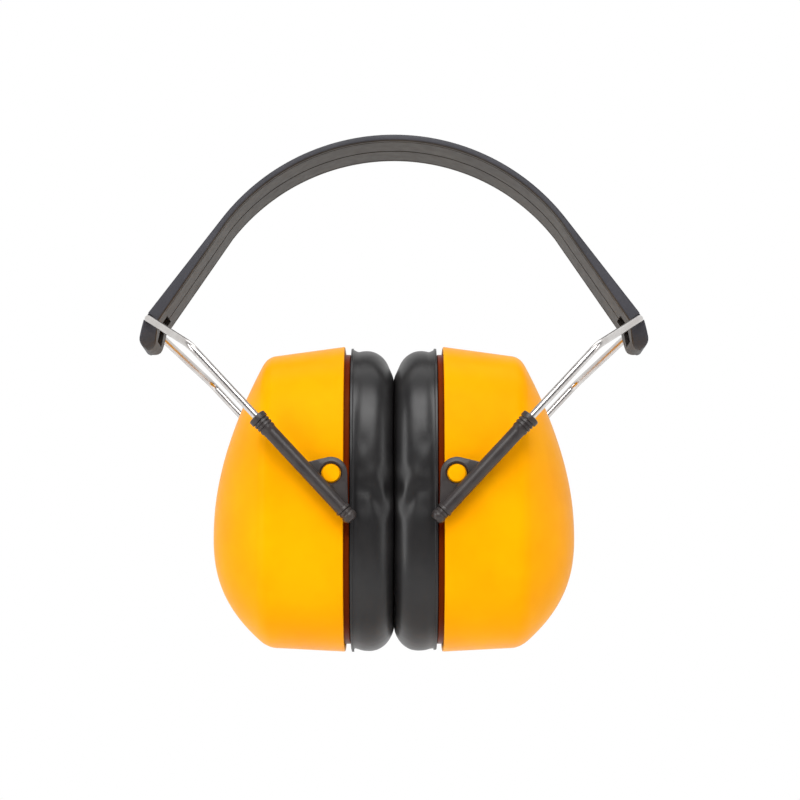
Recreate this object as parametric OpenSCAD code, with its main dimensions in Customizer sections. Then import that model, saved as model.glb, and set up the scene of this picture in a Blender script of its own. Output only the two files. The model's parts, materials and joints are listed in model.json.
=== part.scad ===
// Folding hearing protection earmuffs: a sprung plastic headband, two wire yokes that
// hinge in its ends, four slider brackets on the wire legs and two padded ear cups.
// Origin: bottom centre, on the surface that the cups stand on. +Z up, -Y to the front
// and +X to the right, seen from the front. All sizes are in millimetres.

/* [Ear cups] */
// Height of a cup at its rim
cup_h = 105; // [95:0.5:115]
// Front-to-back depth of a cup at its rim
cup_depth = 84; // [76:0.5:88]
// Distance from the centre plane to a cup's rim
rim_x = 16.8; // [15:0.1:18]
// Distance from the centre plane to the corner where the side wall meets the dome
corner_x = 43.5; // [40:0.5:48]
// Distance from the centre plane to the crown of the dome
apex_x = 62.5; // [58:0.5:66]
// Height of the dome's crown above the base
apex_z = 42; // [36:0.5:52]
// Wall thickness of the moulded cup
cup_wall = 2.2; // [1.6:0.1:3]
// How square the cup's outline is: 2 is an ellipse, more is squarer
outline_power = 3; // [2:0.1:4]

/* [Cushions] */
// Gap between the two cushion faces and the centre plane, each
face_gap = 0.2; // [0.2:0.05:1]
// Width of the cushion ring, from its outer wall to the ear opening
cushion_w = 20.3; // [16:0.1:22]
// Distance from the centre plane to the back of the cushion
cushion_back_x = 14.6; // [12:0.1:14.6]
// Radius of the cushion's outer shoulder
shoulder_r = 7; // [4:0.5:8]
// Thickness of the cushion's vinyl skin
skin_t = 0.8; // [0.5:0.1:1.2]

/* [Headband] */
// Width of the band, front to back
band_w = 30.6; // [26:0.2:31]
// Outer radius of the band's arch
arch_r = 75; // [72:0.5:78]
// Height of the top of the arch above the base
crown_z = 179.5; // [176:0.5:184]
// Angle from the top of the arch to where each straight arm starts
arch_angle = 53; // [51:0.5:54]
// Thickness of the band over the arch
band_t = 2.3; // [1.8:0.1:3]
// Thickness of the band where the wire crosses it
arm_end_t = 4.6; // [4:0.1:5.5]

/* [Wire yokes] */
// Diameter of the spring wire
wire_d = 2.6; // [2:0.1:2.8]
// Distance of the wire's hinge axis from the centre plane
pivot_x = 85; // [84:0.5:86]
// Height of the wire's hinge axis
pivot_z = 114; // [113:0.5:115]
// Distance of the straight wire legs from the middle, front and rear
leg_y = 46; // [45.5:0.5:48]

/* [Slider brackets] */
// Outer diameter of the bracket's tube
tube_d = 5; // [4.6:0.1:5.4]
// Outer diameter of the ribbed collar at the top of the tube
collar_d = 6.2; // [5.2:0.1:6.6]
// Diameter of the cup's trunnion, which turns in the bracket's eye
trunnion_d = 6.8; // [6:0.1:7.4]
// Radial running clearance of the wire in the tube and of the trunnion in the eye
run_gap = 0.05; // [0.02:0.01:0.1]

/* [Hidden] */
$fn = 64;

black = "#3c3a3b";
yellow = "#f7b500";
steel = "#d4d4d0";
grey_foam = "#6f7072";

cut = 1;                  // how far a cutting tool runs past the surface it cuts
outline_steps = 40;       // points round a cup's or a cushion's outline

// The cup
half_h = cup_h / 2;
half_d = cup_depth / 2;
corner_scale = 0.953;     // size of the outline at the corner, against the rim
crown_drop = half_h - apex_z;
corner_drop = 1.1;        // how far the corner ring sits below the middle of the rim
dome_rise = apex_x - corner_x;
liner_front_x = 22;       // the foam liner's face towards the ear
liner_back_x = 40;
liner_inset = 6;          // from the cup's outline to the liner's edge

// The cushion and what it is clipped to
cover_inset = 1.1;        // from the cup's outline to the cushion's side wall
plate_t = 1.2;
plate_front_x = cushion_back_x - plate_t;
seat_front_x = cushion_back_x + 0.2;
seat_back_x = 19;
seat_inset = 2.7;
opening_inset = cover_inset + cushion_w;

// The headband: s runs down the outside of a straight arm from the end of the arch,
// and d is the depth below that outside face
arch_z = crown_z - arch_r;
arm_x = arch_r * sin(arch_angle);
arm_z = arch_z + arch_r * cos(arch_angle);
arm_dir = [cos(arch_angle), -sin(arch_angle)];
arm_in = [-sin(arch_angle), -cos(arch_angle)];
pivot = [pivot_x, pivot_z];
pivot_s = (pivot - [arm_x, arm_z]) * arm_dir;
pivot_d = (pivot - [arm_x, arm_z]) * arm_in;
step_s = pivot_s - wire_d / 2 - 0.35;   // the step that the wire leg lies against
foot_w = 28.4;            // the foot below the step is narrower than the band
foot_c = [85.5, 106.5];   // centre of the foot's round end
foot_r = 2.9;
foot_corner_r = 9;        // rounding of the foot's two lower corners, front and rear
window_w = 12;            // the two windows in the inner face, which free the clip's lips
window_floor = 2.2;       // what the upper window leaves of the arm's thickness
upper_window = [step_s - 3.9, step_s - 0.4];
lower_window = [pivot_s - 0.6, pivot_s + 3.8];
clip_slot = 2.1;          // mouth of the wire's clip, narrower than the wire

// The yoke: the wire leaves the hinge, splays to the cup's width and runs straight
yoke_corner = [pivot_x, -15.8, pivot_z];
bend = [67.7, -leg_y, 99.9];
leg_angle = 42.95;        // of the straight leg, from the vertical
leg_dir = [-sin(leg_angle), 0, -cos(leg_angle)];
leg_end = 78.4;           // length of the straight leg, from the bend's corner
hinge_bend_r = 4;
splay_bend_r = 6;
bend_swell = 0.02;        // drawing swells the wire this much where it is bent
bend_lap = 0.1;
cap_gap = 0.04;           // between the wire and its end cap, across

// The slider, measured down the leg from the bend's corner
collar_top = 32.7;
collar_len = 6.8;
tube_end = 75.4;
eye_pos = [-5.3, -63.2];  // across the leg (towards the wearer) and down it
eye_r = 5.4;
lobe_top = 54;
lobe_back_y = 43.4;
lobe_front_y = 45.6;

// ---- shared shapes ---------------------------------------------------------

// Radius of the square-ish oval outline with half-sizes b (in Y) and h (in Z)
function outline_r(a, b, h) =
    pow(pow(abs(cos(a)) / b, outline_power) + pow(abs(sin(a)) / h, outline_power),
        -1 / outline_power);

function outline(b, h) =
    [for (i = [0 : outline_steps - 1])
        let (a = 360 * i / outline_steps, r = outline_r(a, b, h))
        [r * cos(a), r * sin(a)]];

// Faces between rings of points: each ring has n points, and ring k starts at k * n
function band_faces(k0, k1, n) =
    [for (i = [0 : n - 1])
        let (j = (i + 1) % n)
        each [[k0 * n + i, k1 * n + i, k1 * n + j], [k0 * n + i, k1 * n + j, k0 * n + j]]];

// A ring swept round the outline: section is a closed list of [inset, x]
module outline_ring(section) {
    m = len(section);
    rings = [for (p = section) outline(half_d - p[0], half_h - p[0])];
    points = [for (k = [0 : m - 1]) for (q = rings[k]) [section[k][1], q[0], half_h + q[1]]];
    faces = [for (k = [0 : m - 1]) each band_faces(k, (k + 1) % m, outline_steps)];
    polyhedron(points, faces, convexity = 6);
}

// A closed stack of rings, each a list of 3-D points
module ring_stack(rings) {
    n = len(rings[0]);
    m = len(rings);
    points = [for (r = rings) each r];
    faces = [[for (i = [n - 1 : -1 : 0]) i],
             for (k = [0 : m - 2]) each band_faces(k + 1, k, n),
             [for (i = [0 : n - 1]) (m - 1) * n + i]];
    polyhedron(points, faces, convexity = 6);
}

module on_left() { mirror([1, 0, 0]) children(); }
module on_rear() { mirror([0, 1, 0]) children(); }

// ---- headband --------------------------------------------------------------

function arm(s, d) = [arm_x, arm_z] + s * arm_dir + d * arm_in;

// The point where a line from p touches a circle, with the circle on the given side
function touch(p, c, r, side) =
    let (v = c - p, l = norm(v), a = atan2(v[1], v[0]) + side * asin(r / l),
         t = sqrt(l * l - r * r))
    p + t * [cos(a), sin(a)];

module arch_2d() {
    far = 2 * arch_r;
    translate([0, arch_z]) intersection() {
        difference() {
            circle(arch_r, $fn = 180);
            circle(arch_r - band_t, $fn = 180);
        }
        polygon([[0, 0], far * [-sin(arch_angle), cos(arch_angle)], [-far, 2 * far],
                 [far, 2 * far], far * [sin(arch_angle), cos(arch_angle)]]);
    }
}

// A straight arm, which grows thicker downwards and has a tenon into the arch
module arm_2d() {
    tenon = 0.5;
    polygon([arm(0, 0), arm(step_s, 0), arm(step_s, arm_end_t), arm(0, band_t),
             arm(0, band_t - tenon), arm(-tenon, band_t - tenon), arm(-tenon, tenon), arm(0, tenon)]);
}

module foot_2d() {
    heel = arm(pivot_s + 1, 0);
    toe = arm(step_s, arm_end_t);
    polygon([arm(step_s, 0), heel, touch(heel, foot_c, foot_r, 1), foot_c,
             touch(toe, foot_c, foot_r, -1), toe]);
    translate(foot_c) circle(foot_r);
}

// Turns a profile in the X-Z plane into a slab, centred front to back
module slab(w) { rotate([90, 0, 0]) linear_extrude(w, center = true) children(); }

// The foot's outline seen from the side: straight down, with two rounded corners
module foot_side_2d() {
    r = foot_corner_r;
    y = foot_w / 2 - r;
    z = foot_c[1] - foot_r + r;
    top = z + foot_w;
    polygon([[-foot_w, top],
             for (a = [180 : 10 : 270]) [-y, z] + r * [cos(a), sin(a)],
             for (a = [270 : 10 : 360]) [y, z] + r * [cos(a), sin(a)],
             [foot_w, top]]);
}

// A box in the arm's own directions: s along it, d below its outside face
module arm_box(s0, s1, d0, d1, w) {
    slab(w) polygon([arm(s0, d0), arm(s1, d0), arm(s1, d1), arm(s0, d1)]);
}

module arm_and_foot() {
    difference() {
        union() {
            slab(band_w) arm_2d();
            intersection() {
                slab(foot_w) foot_2d();
                translate([arm_x, 0, 0]) rotate([90, 0, 90])
                    linear_extrude(pivot_x) foot_side_2d();
            }
        }
        translate([pivot_x, 0, pivot_z]) rotate([90, 0, 0])
            cylinder(h = band_w + 2 * cut, d = wire_d + 2 * run_gap, center = true);
        arm_box(pivot_s - clip_slot / 2, pivot_s + clip_slot / 2, -cut, pivot_d, foot_w + cut);
        arm_box(upper_window[0], upper_window[1], window_floor, 2 * arm_end_t, window_w);
        arm_box(lower_window[0], lower_window[1], pivot_d, 3 * arm_end_t, window_w);
    }
}

module headband() {
    color(black) {
        slab(band_w) arch_2d();
        arm_and_foot();
        on_left() arm_and_foot();
    }
}

// ---- wire yokes ------------------------------------------------------------

// A straight length of wire from p to q, which laps into the bends at its ends
module wire_straight(p, q, lap0 = bend_lap, lap1 = bend_lap) {
    v = q - p;
    l = norm(v);
    translate(p) rotate([0, acos(v[2] / l), atan2(v[1], v[0])])
        translate([0, 0, -lap0]) cylinder(h = l + lap0 + lap1, d = wire_d);
}

function unit(v) = v / norm(v);

// A bend of radius r at corner c, between the directions of travel u and v
module wire_bend(c, u, v, r) {
    turn = acos(u * v);
    out = unit(cross(cross(u, v), u));        // from the start of the bend to its centre
    start = c - u * r * tan(turn / 2);
    centre = start + out * r;
    x = -out;
    z = cross(x, u);
    multmatrix([[x[0], u[0], z[0], centre[0]],
                [x[1], u[1], z[1], centre[1]],
                [x[2], u[2], z[2], centre[2]],
                [0, 0, 0, 1]])
        rotate_extrude(angle = turn) translate([r, 0]) circle(d = wire_d + bend_swell);
}

bar_dir = [0, -1, 0];
splay_dir = unit(bend - yoke_corner);
hinge_tangent = hinge_bend_r * tan(acos(bar_dir * splay_dir) / 2);
splay_tangent = splay_bend_r * tan(acos(splay_dir * leg_dir) / 2);

// The front leg, from the end of the hinge bar
module yoke_leg() {
    wire_bend(yoke_corner, bar_dir, splay_dir, hinge_bend_r);
    wire_straight(yoke_corner + splay_dir * hinge_tangent, bend - splay_dir * splay_tangent);
    wire_bend(bend, splay_dir, leg_dir, splay_bend_r);
    wire_straight(bend + leg_dir * splay_tangent, bend + leg_dir * leg_end, lap1 = 0);
}

module wire_yoke() {
    bar_end = yoke_corner - bar_dir * hinge_tangent;
    color(steel) {
        wire_straight([bar_end[0], -bar_end[1], bar_end[2]], bar_end);
        yoke_leg();
        on_rear() yoke_leg();
    }
}

// Places a shape on the front leg: its own Z runs up the leg, and -X to the wearer
module on_leg() { translate(bend) rotate([0, leg_angle, 0]) children(); }

// The cap moulded on the wire's end, which stops the slider
module end_cap() {
    top = -tube_end - 0.3;
    shoulder = -leg_end + 0.5;
    tip = -leg_end - 1.2;
    neck_r = 2.3;
    bead_r = 2.5;
    color(black) on_leg() difference() {
        rotate_extrude() polygon([[0, tip], [bead_r - 0.5, tip], [bead_r, tip + 0.6],
                                  [bead_r, shoulder - 0.3], [neck_r, shoulder],
                                  [neck_r, top], [0, top]]);
        translate([0, 0, -leg_end]) cylinder(h = leg_end - tube_end, d = wire_d + cap_gap);
    }
}

// ---- slider brackets -------------------------------------------------------

// Half section of the tube: a ribbed collar at the top and a flange at the bottom
module tube_section() {
    rc = collar_d / 2;
    rt = tube_d / 2;
    groove = rc - 0.45;
    polygon([[0, -collar_top], [rc - 0.9, -collar_top], [rc - 0.2, -collar_top - 0.5],
             [rc, -collar_top - 1.1], [rc, -collar_top - 2.4],
             [groove, -collar_top - 2.7], [groove, -collar_top - 3.2],
             [rc - 0.1, -collar_top - 3.5], [rc - 0.1, -collar_top - 4.2],
             [groove, -collar_top - 4.5], [groove, -collar_top - 5],
             [rc - 0.1, -collar_top - 5.3], [rc - 0.1, -collar_top - 6.2],
             [rt, -collar_top - collar_len], [rt, -tube_end + 1.1],
             [rt + 0.25, -tube_end + 0.9], [rt + 0.25, -tube_end], [0, -tube_end]]);
}

// The flat lobe beside the tube, with a round end about the eye
module lobe_2d() {
    top = [0, -lobe_top];
    low = [0.2 - tube_d / 2, -tube_end + 0.5];
    translate(eye_pos) circle(eye_r);
    polygon([top, touch(top, eye_pos, eye_r, -1), eye_pos, touch(low, eye_pos, eye_r, 1), low,
             [0, low[1]]]);
}

module slider() {
    color(black) on_leg() difference() {
        union() {
            rotate_extrude() tube_section();
            translate([0, leg_y - lobe_back_y, 0]) rotate([90, 0, 0])
                linear_extrude(lobe_front_y - lobe_back_y) lobe_2d();
        }
        translate([0, 0, -tube_end - cut])
            cylinder(h = tube_end - collar_top + 2 * cut, d = wire_d + 2 * run_gap);
        translate([eye_pos[0], 0, eye_pos[1]]) rotate([90, 0, 0])
            cylinder(h = 4 * tube_d, d = trunnion_d + 2 * run_gap, center = true);
    }
}

// ---- cups ------------------------------------------------------------------

// The dome is a little flatter above its crown than below it
function dome_power(a) = 2.2 - 0.45 * sin(a);

// One ring of the cup: f is the size against the corner ring, in is the inset of the
// surface, and x is given on the side wall or follows the dome's curve
function cup_ring(f, x, in) =
    [for (i = [0 : outline_steps - 1])
        let (a = 360 * i / outline_steps,
             r = outline_r(a, half_d - in, half_h - in) * corner_scale * f,
             sink = min(f, (1 - corner_scale * f) / (1 - corner_scale)),
             drop = crown_drop * max(0, 1 - f) + corner_drop * sink,
             dome_x = apex_x - in - dome_rise * pow(f, dome_power(a)))
        [x > 0 ? x : dome_x, r * cos(a), half_h - drop + r * sin(a)]];

wall_steps = 2;
dome_sizes = [0.975, 0.92, 0.84, 0.73, 0.6, 0.46, 0.31, 0.16, 0.04];

function cup_rings(in) =
    [for (k = [0 : wall_steps])
        let (u = k / wall_steps)
        cup_ring((1 - u) / corner_scale + u * 1.004, rim_x + u * (corner_x - in - 2.5 - rim_x), in),
     cup_ring(0.993, corner_x - in - 0.5, in),
     for (f = dome_sizes) cup_ring(f, -1, in)];

// The two trunnions are moulded on the cup, front and rear
module trunnion() {
    p = bend + [cos(leg_angle) * eye_pos[0] + sin(leg_angle) * eye_pos[1], 0,
                -sin(leg_angle) * eye_pos[0] + cos(leg_angle) * eye_pos[1]];
    root_y = half_d - cup_wall - 0.5;
    tip_y = lobe_front_y - 0.1;
    chamfer = 0.4;
    translate([p[0], -root_y, p[2]]) rotate([90, 0, 0]) {
        cylinder(h = tip_y - chamfer - root_y, d = trunnion_d);
        cylinder(h = tip_y - root_y, d = trunnion_d - 1.5 * chamfer);
    }
}

module cup_shell() {
    outer = cup_rings(0);
    inner = cup_rings(cup_wall);
    last = len(inner) - 1;
    color(yellow) {
        ring_stack([for (r = [last : -1 : 0]) outer[r], for (r = inner) r]);
        trunnion();
        on_rear() trunnion();
    }
}

// A flat ring parallel to the rim: x from x0 to x1, inset from i0 to i1
module flat_ring(x0, x1, i0, i1) {
    outline_ring([[i0, x0], [i0, x1], [i1, x1], [i1, x0]]);
}

module seat_ring() { color(yellow) flat_ring(seat_front_x, seat_back_x, seat_inset, opening_inset); }

module foam_liner() {
    slice = outline(half_d - liner_inset, half_h - liner_inset);
    color(grey_foam)
        ring_stack([for (x = [liner_back_x, liner_front_x])
                       [for (p = slice) [x, p[0], half_h + p[1]]]]);
}

// ---- cushions --------------------------------------------------------------

module cushion_plate() {
    color(black) flat_ring(plate_front_x, cushion_back_x, cover_inset + skin_t, opening_inset);
}

// Section of the cushion, with its surface moved in by e
inner_r = 6.5;            // radius of the cushion's inner shoulder
arc_steps = 3;
function cushion_section(e) =
    let (c0 = [cover_inset + shoulder_r, face_gap + shoulder_r],
         c1 = [cover_inset + cushion_w - inner_r, face_gap + inner_r])
    [for (k = [0 : arc_steps])
        let (a = 180 + 90 * k / arc_steps)
        c0 + (shoulder_r - e) * [cos(a), sin(a)],
     for (k = [0 : arc_steps])
        let (a = 270 + 90 * k / arc_steps)
        c1 + (inner_r - e) * [cos(a), sin(a)]];

function reversed(v) = [for (i = [len(v) - 1 : -1 : 0]) v[i]];

module cushion_foam() {
    e = skin_t + 0.05;
    s = cushion_section(e);
    back = plate_front_x - 0.05;
    color(grey_foam)
        outline_ring(reversed([[s[0][0], back], each s, [s[len(s) - 1][0], back]]));
}

// The vinyl skin: a channel round the foam, with the welded lip at its outer back edge
module cushion_cover() {
    outer = cushion_section(0);
    inner = cushion_section(skin_t);
    n = len(outer) - 1;
    back = plate_front_x - 0.05;
    lip = 0.2;
    color(black)
        outline_ring(reversed([[lip, cushion_back_x], [lip, cushion_back_x - 0.5],
                               [outer[0][0], cushion_back_x - 1.6], each outer,
                               [outer[n][0], back], [inner[n][0], back],
                               each reversed(inner),
                               [inner[0][0], cushion_back_x]]));
}

// ---- nodes -----------------------------------------------------------------

module left_wire_yoke() { on_left() wire_yoke(); }
module right_wire_yoke() { wire_yoke(); }
module left_front_end_cap() { on_left() end_cap(); }
module left_rear_end_cap() { on_left() on_rear() end_cap(); }
module right_front_end_cap() { end_cap(); }
module right_rear_end_cap() { on_rear() end_cap(); }
module left_front_slider() { on_left() slider(); }
module left_rear_slider() { on_left() on_rear() slider(); }
module right_front_slider() { slider(); }
module right_rear_slider() { on_rear() slider(); }
module left_cup_shell() { on_left() cup_shell(); }
module right_cup_shell() { cup_shell(); }
module left_seat_ring() { on_left() seat_ring(); }
module right_seat_ring() { seat_ring(); }
module left_foam_liner() { on_left() foam_liner(); }
module right_foam_liner() { foam_liner(); }
module left_cushion_plate() { on_left() cushion_plate(); }
module right_cushion_plate() { cushion_plate(); }
module left_cushion_foam() { on_left() cushion_foam(); }
module right_cushion_foam() { cushion_foam(); }
module left_cushion_cover() { on_left() cushion_cover(); }
module right_cushion_cover() { cushion_cover(); }

headband();
left_wire_yoke();
right_wire_yoke();
left_front_end_cap();
left_rear_end_cap();
right_front_end_cap();
right_rear_end_cap();
left_front_slider();
left_rear_slider();
right_front_slider();
right_rear_slider();
left_cup_shell();
right_cup_shell();
left_seat_ring();
right_seat_ring();
left_foam_liner();
right_foam_liner();
left_cushion_plate();
right_cushion_plate();
left_cushion_foam();
right_cushion_foam();
left_cushion_cover();
right_cushion_cover();
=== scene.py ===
"""Folding hearing protection earmuffs: the looks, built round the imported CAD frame.

Shapes are worked out in millimetres on the right-hand, front side of the object
(+X, -Y) and mirrored from there. +Z is up and the front looks along +Y.
"""
import json
import math

import bmesh
import bpy
import numpy as np
from mathutils import Matrix, Vector, noise


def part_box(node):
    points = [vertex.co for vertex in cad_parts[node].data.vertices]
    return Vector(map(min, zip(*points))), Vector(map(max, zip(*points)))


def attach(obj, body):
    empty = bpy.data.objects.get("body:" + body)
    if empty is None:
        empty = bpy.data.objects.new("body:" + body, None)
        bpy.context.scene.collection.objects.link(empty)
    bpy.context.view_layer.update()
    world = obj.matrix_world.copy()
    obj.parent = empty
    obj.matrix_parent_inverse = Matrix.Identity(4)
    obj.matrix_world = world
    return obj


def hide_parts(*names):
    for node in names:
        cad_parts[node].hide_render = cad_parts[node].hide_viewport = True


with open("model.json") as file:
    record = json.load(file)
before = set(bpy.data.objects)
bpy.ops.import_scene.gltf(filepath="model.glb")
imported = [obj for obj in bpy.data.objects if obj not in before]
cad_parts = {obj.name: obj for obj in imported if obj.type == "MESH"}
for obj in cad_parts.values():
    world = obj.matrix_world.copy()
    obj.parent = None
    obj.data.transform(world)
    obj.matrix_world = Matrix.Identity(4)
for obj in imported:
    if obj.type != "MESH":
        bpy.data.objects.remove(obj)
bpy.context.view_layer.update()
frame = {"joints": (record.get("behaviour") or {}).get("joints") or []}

MM = 0.001
JOINTS = {j["name"]: j for j in frame["joints"]}
SIDES = {"right": 1, "left": -1}
ENDS = {"front": 1, "rear": -1}


def box_mm(node):
    """A node's lowest and highest corners, in mm."""
    lo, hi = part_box(node)
    return np.array(lo) / MM, np.array(hi) / MM


# ---- sizes, in mm, from the frame ----------------------------------------------------

CROWN_Z = box_mm("headband")[1][2]
BAND_HALF = box_mm("headband")[1][1]
PIVOT = np.array(JOINTS["right_yoke_swing"]["pos_m"])[[0, 2]] / MM
EYE = np.array(JOINTS["right_cup_tilt"]["pos_m"])[[0, 2]] / MM
UP_LEG = np.array(JOINTS["right_height_slide"]["axis"])
LEG_ANGLE = math.atan2(UP_LEG[0], UP_LEG[2])

SHELL_LO, SHELL_HI = box_mm("right_cup_shell")
RIM_X = SHELL_LO[0]
HALF_H = SHELL_HI[2] / 2
HALF_D = 42.0                    # half the cup's depth at its rim, without the trunnions
APEX_X = SHELL_HI[0]
APEX_Z = 42.0                    # height of the dome's crown
CORNER_X = 43.5                  # where the side wall turns into the dome
CORNER_SCALE = 0.953
CORNER_DROP = 1.1                # how much lower the corner's ring sits than the rim's
DOME_RISE = APEX_X - CORNER_X
CUP_WALL = 2.2

COVER_LO, COVER_HI = box_mm("right_cushion_cover")
FACE_X = COVER_LO[0]             # the cushion's face, next to the centre plane
BACK_X = COVER_HI[0]
COVER_INSET = 1.1                # from the cup's outline to the cushion's side wall
CUSHION_W = 20.3
SKIN = 0.7

ARCH_R = 75.0                    # outside
ARCH_ANGLE = math.radians(53)    # from the crown to the straight arm
ARCH_T = 2.3
ARM_END_T = 4.6
BAND_FILLET = 0.7
GROOVE_DEEP = 0.45
WINDOW_LEN = 3.5                 # the clip's upper window, along the arm
WINDOW_HALF = 6.0                # half the width of both windows
WIRE_D = 2.6
BORE_R = WIRE_D / 2 + 0.05       # the wire's hole in the clip and in the sliders
MOUTH_HALF = 1.05                # half the clip's mouth, which is narrower than the wire
FOOT_HALF = 14.2                 # half its width
FOOT_C = np.array([85.5, 107.4])  # X and Z of its round lower edge, whose radius follows
FOOT_R = 2.9
FOOT_CORNER_R = 9.0

YOKE_CORNER = np.array([PIVOT[0], -15.8, PIVOT[1]])
YOKE_BEND_R = 4
LEG_Y = 46.0                     # from the middle of the object to each leg
BEND = np.array([67.7, -LEG_Y, 99.9])
LEG_BEND_R = 6
LEG_END = 78.4                   # places down the leg, from its bend
COLLAR_TOP = 32.7
TUBE_END = 75.4
LOBE_TOP = 54.0                  # where the lobe leaves the tube
LOBE_ROOT = 1.75                 # where its root ends inside the tube, off the middle line
TUBE_R = 2.4
COLLAR_R = 3.1
EYE_R = 5.4                      # the round end of the lobe
TRUNNION_R = 3.2
TRUNNION_TIP = 45.5              # from the middle of the object to the stud's top

AROUND = 176                     # points round a cup; a cushion has half as many
WIRE_SIDES = 28
BEND_STEPS = 14
FLOOR_Z = -0.075                 # in metres, below all that the cups reach


# ---- materials -----------------------------------------------------------------------

class Finish:
    """A material and the few node links that its surface needs."""

    def __init__(self, name, colour, roughness, **sockets):
        self.material = bpy.data.materials.new(name)
        self.material.use_nodes = True
        self.tree = self.material.node_tree
        self.shader = self.tree.nodes["Principled BSDF"]
        self.shader.inputs["Base Color"].default_value = (*colour, 1)
        self.shader.inputs["Roughness"].default_value = roughness
        for socket, value in sockets.items():
            self.shader.inputs[socket.replace("_", " ")].default_value = value
        self.place = self.tree.nodes.new("ShaderNodeTexCoord").outputs["Object"]
        self.height = None

    def link(self, out, into):
        self.tree.links.new(out, into)

    def stretched(self, scale):
        """The place in metres, scaled differently along X, Y and Z."""
        node = self.tree.nodes.new("ShaderNodeMapping")
        node.inputs["Scale"].default_value = scale
        self.link(self.place, node.inputs["Vector"])
        return node.outputs["Vector"]

    def noise(self, size, detail=2.0, place=None):
        """Noise whose features are about size mm across."""
        node = self.tree.nodes.new("ShaderNodeTexNoise")
        node.inputs["Scale"].default_value = 1 / (size * MM)
        node.inputs["Detail"].default_value = detail
        self.link(place or self.place, node.inputs["Vector"])
        return node.outputs["Fac"]

    def cells(self, size, feature="F1"):
        node = self.tree.nodes.new("ShaderNodeTexVoronoi")
        node.feature = feature
        node.inputs["Scale"].default_value = 1 / (size * MM)
        self.link(self.place, node.inputs["Vector"])
        return node.outputs["Distance"]

    def attribute(self, name):
        node = self.tree.nodes.new("ShaderNodeAttribute")
        node.attribute_name = name
        return node.outputs["Fac"]

    def ramp(self, value, stops):
        """Colours, as (place, colour) stops, for a value."""
        node = self.tree.nodes.new("ShaderNodeValToRGB")
        points = node.color_ramp.elements
        while len(points) < len(stops):
            points.new(0.5)
        for point, (where, colour) in zip(points, stops):
            point.position = where
            point.color = (*colour, 1)
        self.link(value, node.inputs["Fac"])
        return node.outputs["Color"]

    def span(self, value, low, high, from_low=0.0, from_high=1.0):
        node = self.tree.nodes.new("ShaderNodeMapRange")
        for socket, number in (("From Min", from_low), ("From Max", from_high),
                               ("To Min", low), ("To Max", high)):
            node.inputs[socket].default_value = number
        self.link(value, node.inputs["Value"])
        return node.outputs["Result"]

    def mix(self, share, a, b):
        node = self.tree.nodes.new("ShaderNodeMix")
        node.data_type = "RGBA"
        self.link(share, node.inputs["Factor"])
        for socket, colour in ((node.inputs[6], a), (node.inputs[7], b)):
            if isinstance(colour, tuple):
                socket.default_value = (*colour, 1)
            else:
                self.link(colour, socket)
        return node.outputs[2]

    def colour(self, out):
        self.link(out, self.shader.inputs["Base Color"])

    def roughness(self, out):
        self.link(out, self.shader.inputs["Roughness"])

    def bump(self, value, depth, strength=1.0):
        """Adds a relief of about depth mm."""
        node = self.tree.nodes.new("ShaderNodeBump")
        node.inputs["Distance"].default_value = depth * MM
        node.inputs["Strength"].default_value = strength
        self.link(value, node.inputs["Height"])
        if self.height is not None:
            self.link(self.height, node.inputs["Normal"])
        self.height = node.outputs["Normal"]
        self.link(self.height, self.shader.inputs["Normal"])


def band_plastic():
    """Charcoal plastic, cooler on the outside of the band; its inner face, which looks in and
    down towards the cups, is painted darker and browner as painted shade.
    """
    f = Finish("band_plastic", (0.033, 0.032, 0.038), 0.42, Specular_IOR_Level=0.28)
    cloud = f.noise(14)
    outside = f.ramp(cloud, [(0.3, (0.026, 0.026, 0.032)), (0.7, (0.039, 0.038, 0.046))])
    # Painted shade: the inner face's colours are darker and browner than the outside's.
    inside = f.ramp(cloud, [(0.3, (0.027, 0.020, 0.013)), (0.7, (0.042, 0.034, 0.023))])
    f.colour(f.mix(f.attribute("inside"), outside, inside))
    f.roughness(f.span(f.noise(3), 0.38, 0.55))
    f.bump(f.noise(0.5, 3), 0.03, 0.5)
    return f.material


def chrome():
    f = Finish("chrome_wire", (0.66, 0.63, 0.61), 0.24, Metallic=1.0)
    f.colour(f.ramp(f.noise(6), [(0.35, (0.60, 0.57, 0.55)), (0.7, (0.70, 0.68, 0.66))]))
    f.roughness(f.span(f.noise(4), 0.20, 0.28))
    return f.material


def bracket_plastic():
    f = Finish("bracket_plastic", (0.026, 0.020, 0.019), 0.36, Specular_IOR_Level=0.45)
    f.colour(f.ramp(f.noise(5), [(0.3, (0.021, 0.016, 0.016)), (0.7, (0.036, 0.029, 0.027))]))
    f.roughness(f.span(f.noise(1.5), 0.3, 0.46))
    f.bump(f.noise(0.35, 3), 0.02, 0.5)
    return f.material


def cup_plastic(name, low, high):
    """Half glossy plastic, between two colours, with a faint moulded orange peel."""
    f = Finish(name, high, 0.38, Specular_IOR_Level=0.06, Specular_Tint=(1, 0.72, 0.2, 1))
    f.colour(f.ramp(f.noise(22, 3), [(0.3, low), (0.7, high)]))
    f.roughness(f.span(f.noise(2.2), 0.30, 0.44))
    f.bump(f.noise(1.6, 2), 0.018, 0.5)
    f.bump(f.noise(0.32, 2), 0.008, 0.5)
    return f.material


def vinyl():
    """Black cushion vinyl: soft shine, a fine grain and faint creases."""
    f = Finish("cushion_vinyl", (0.009, 0.008, 0.008), 0.36, Specular_IOR_Level=0.4)
    f.colour(f.ramp(f.noise(9), [(0.3, (0.006, 0.0055, 0.006)), (0.7, (0.011, 0.010, 0.010))]))
    f.roughness(f.span(f.noise(4), 0.31, 0.42))
    f.bump(f.noise(7, 2, f.stretched((1.0, 1.0, 0.35))), 0.12, 0.5)
    f.bump(f.cells(0.55, "DISTANCE_TO_EDGE"), 0.03, 0.45)
    return f.material


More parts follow.
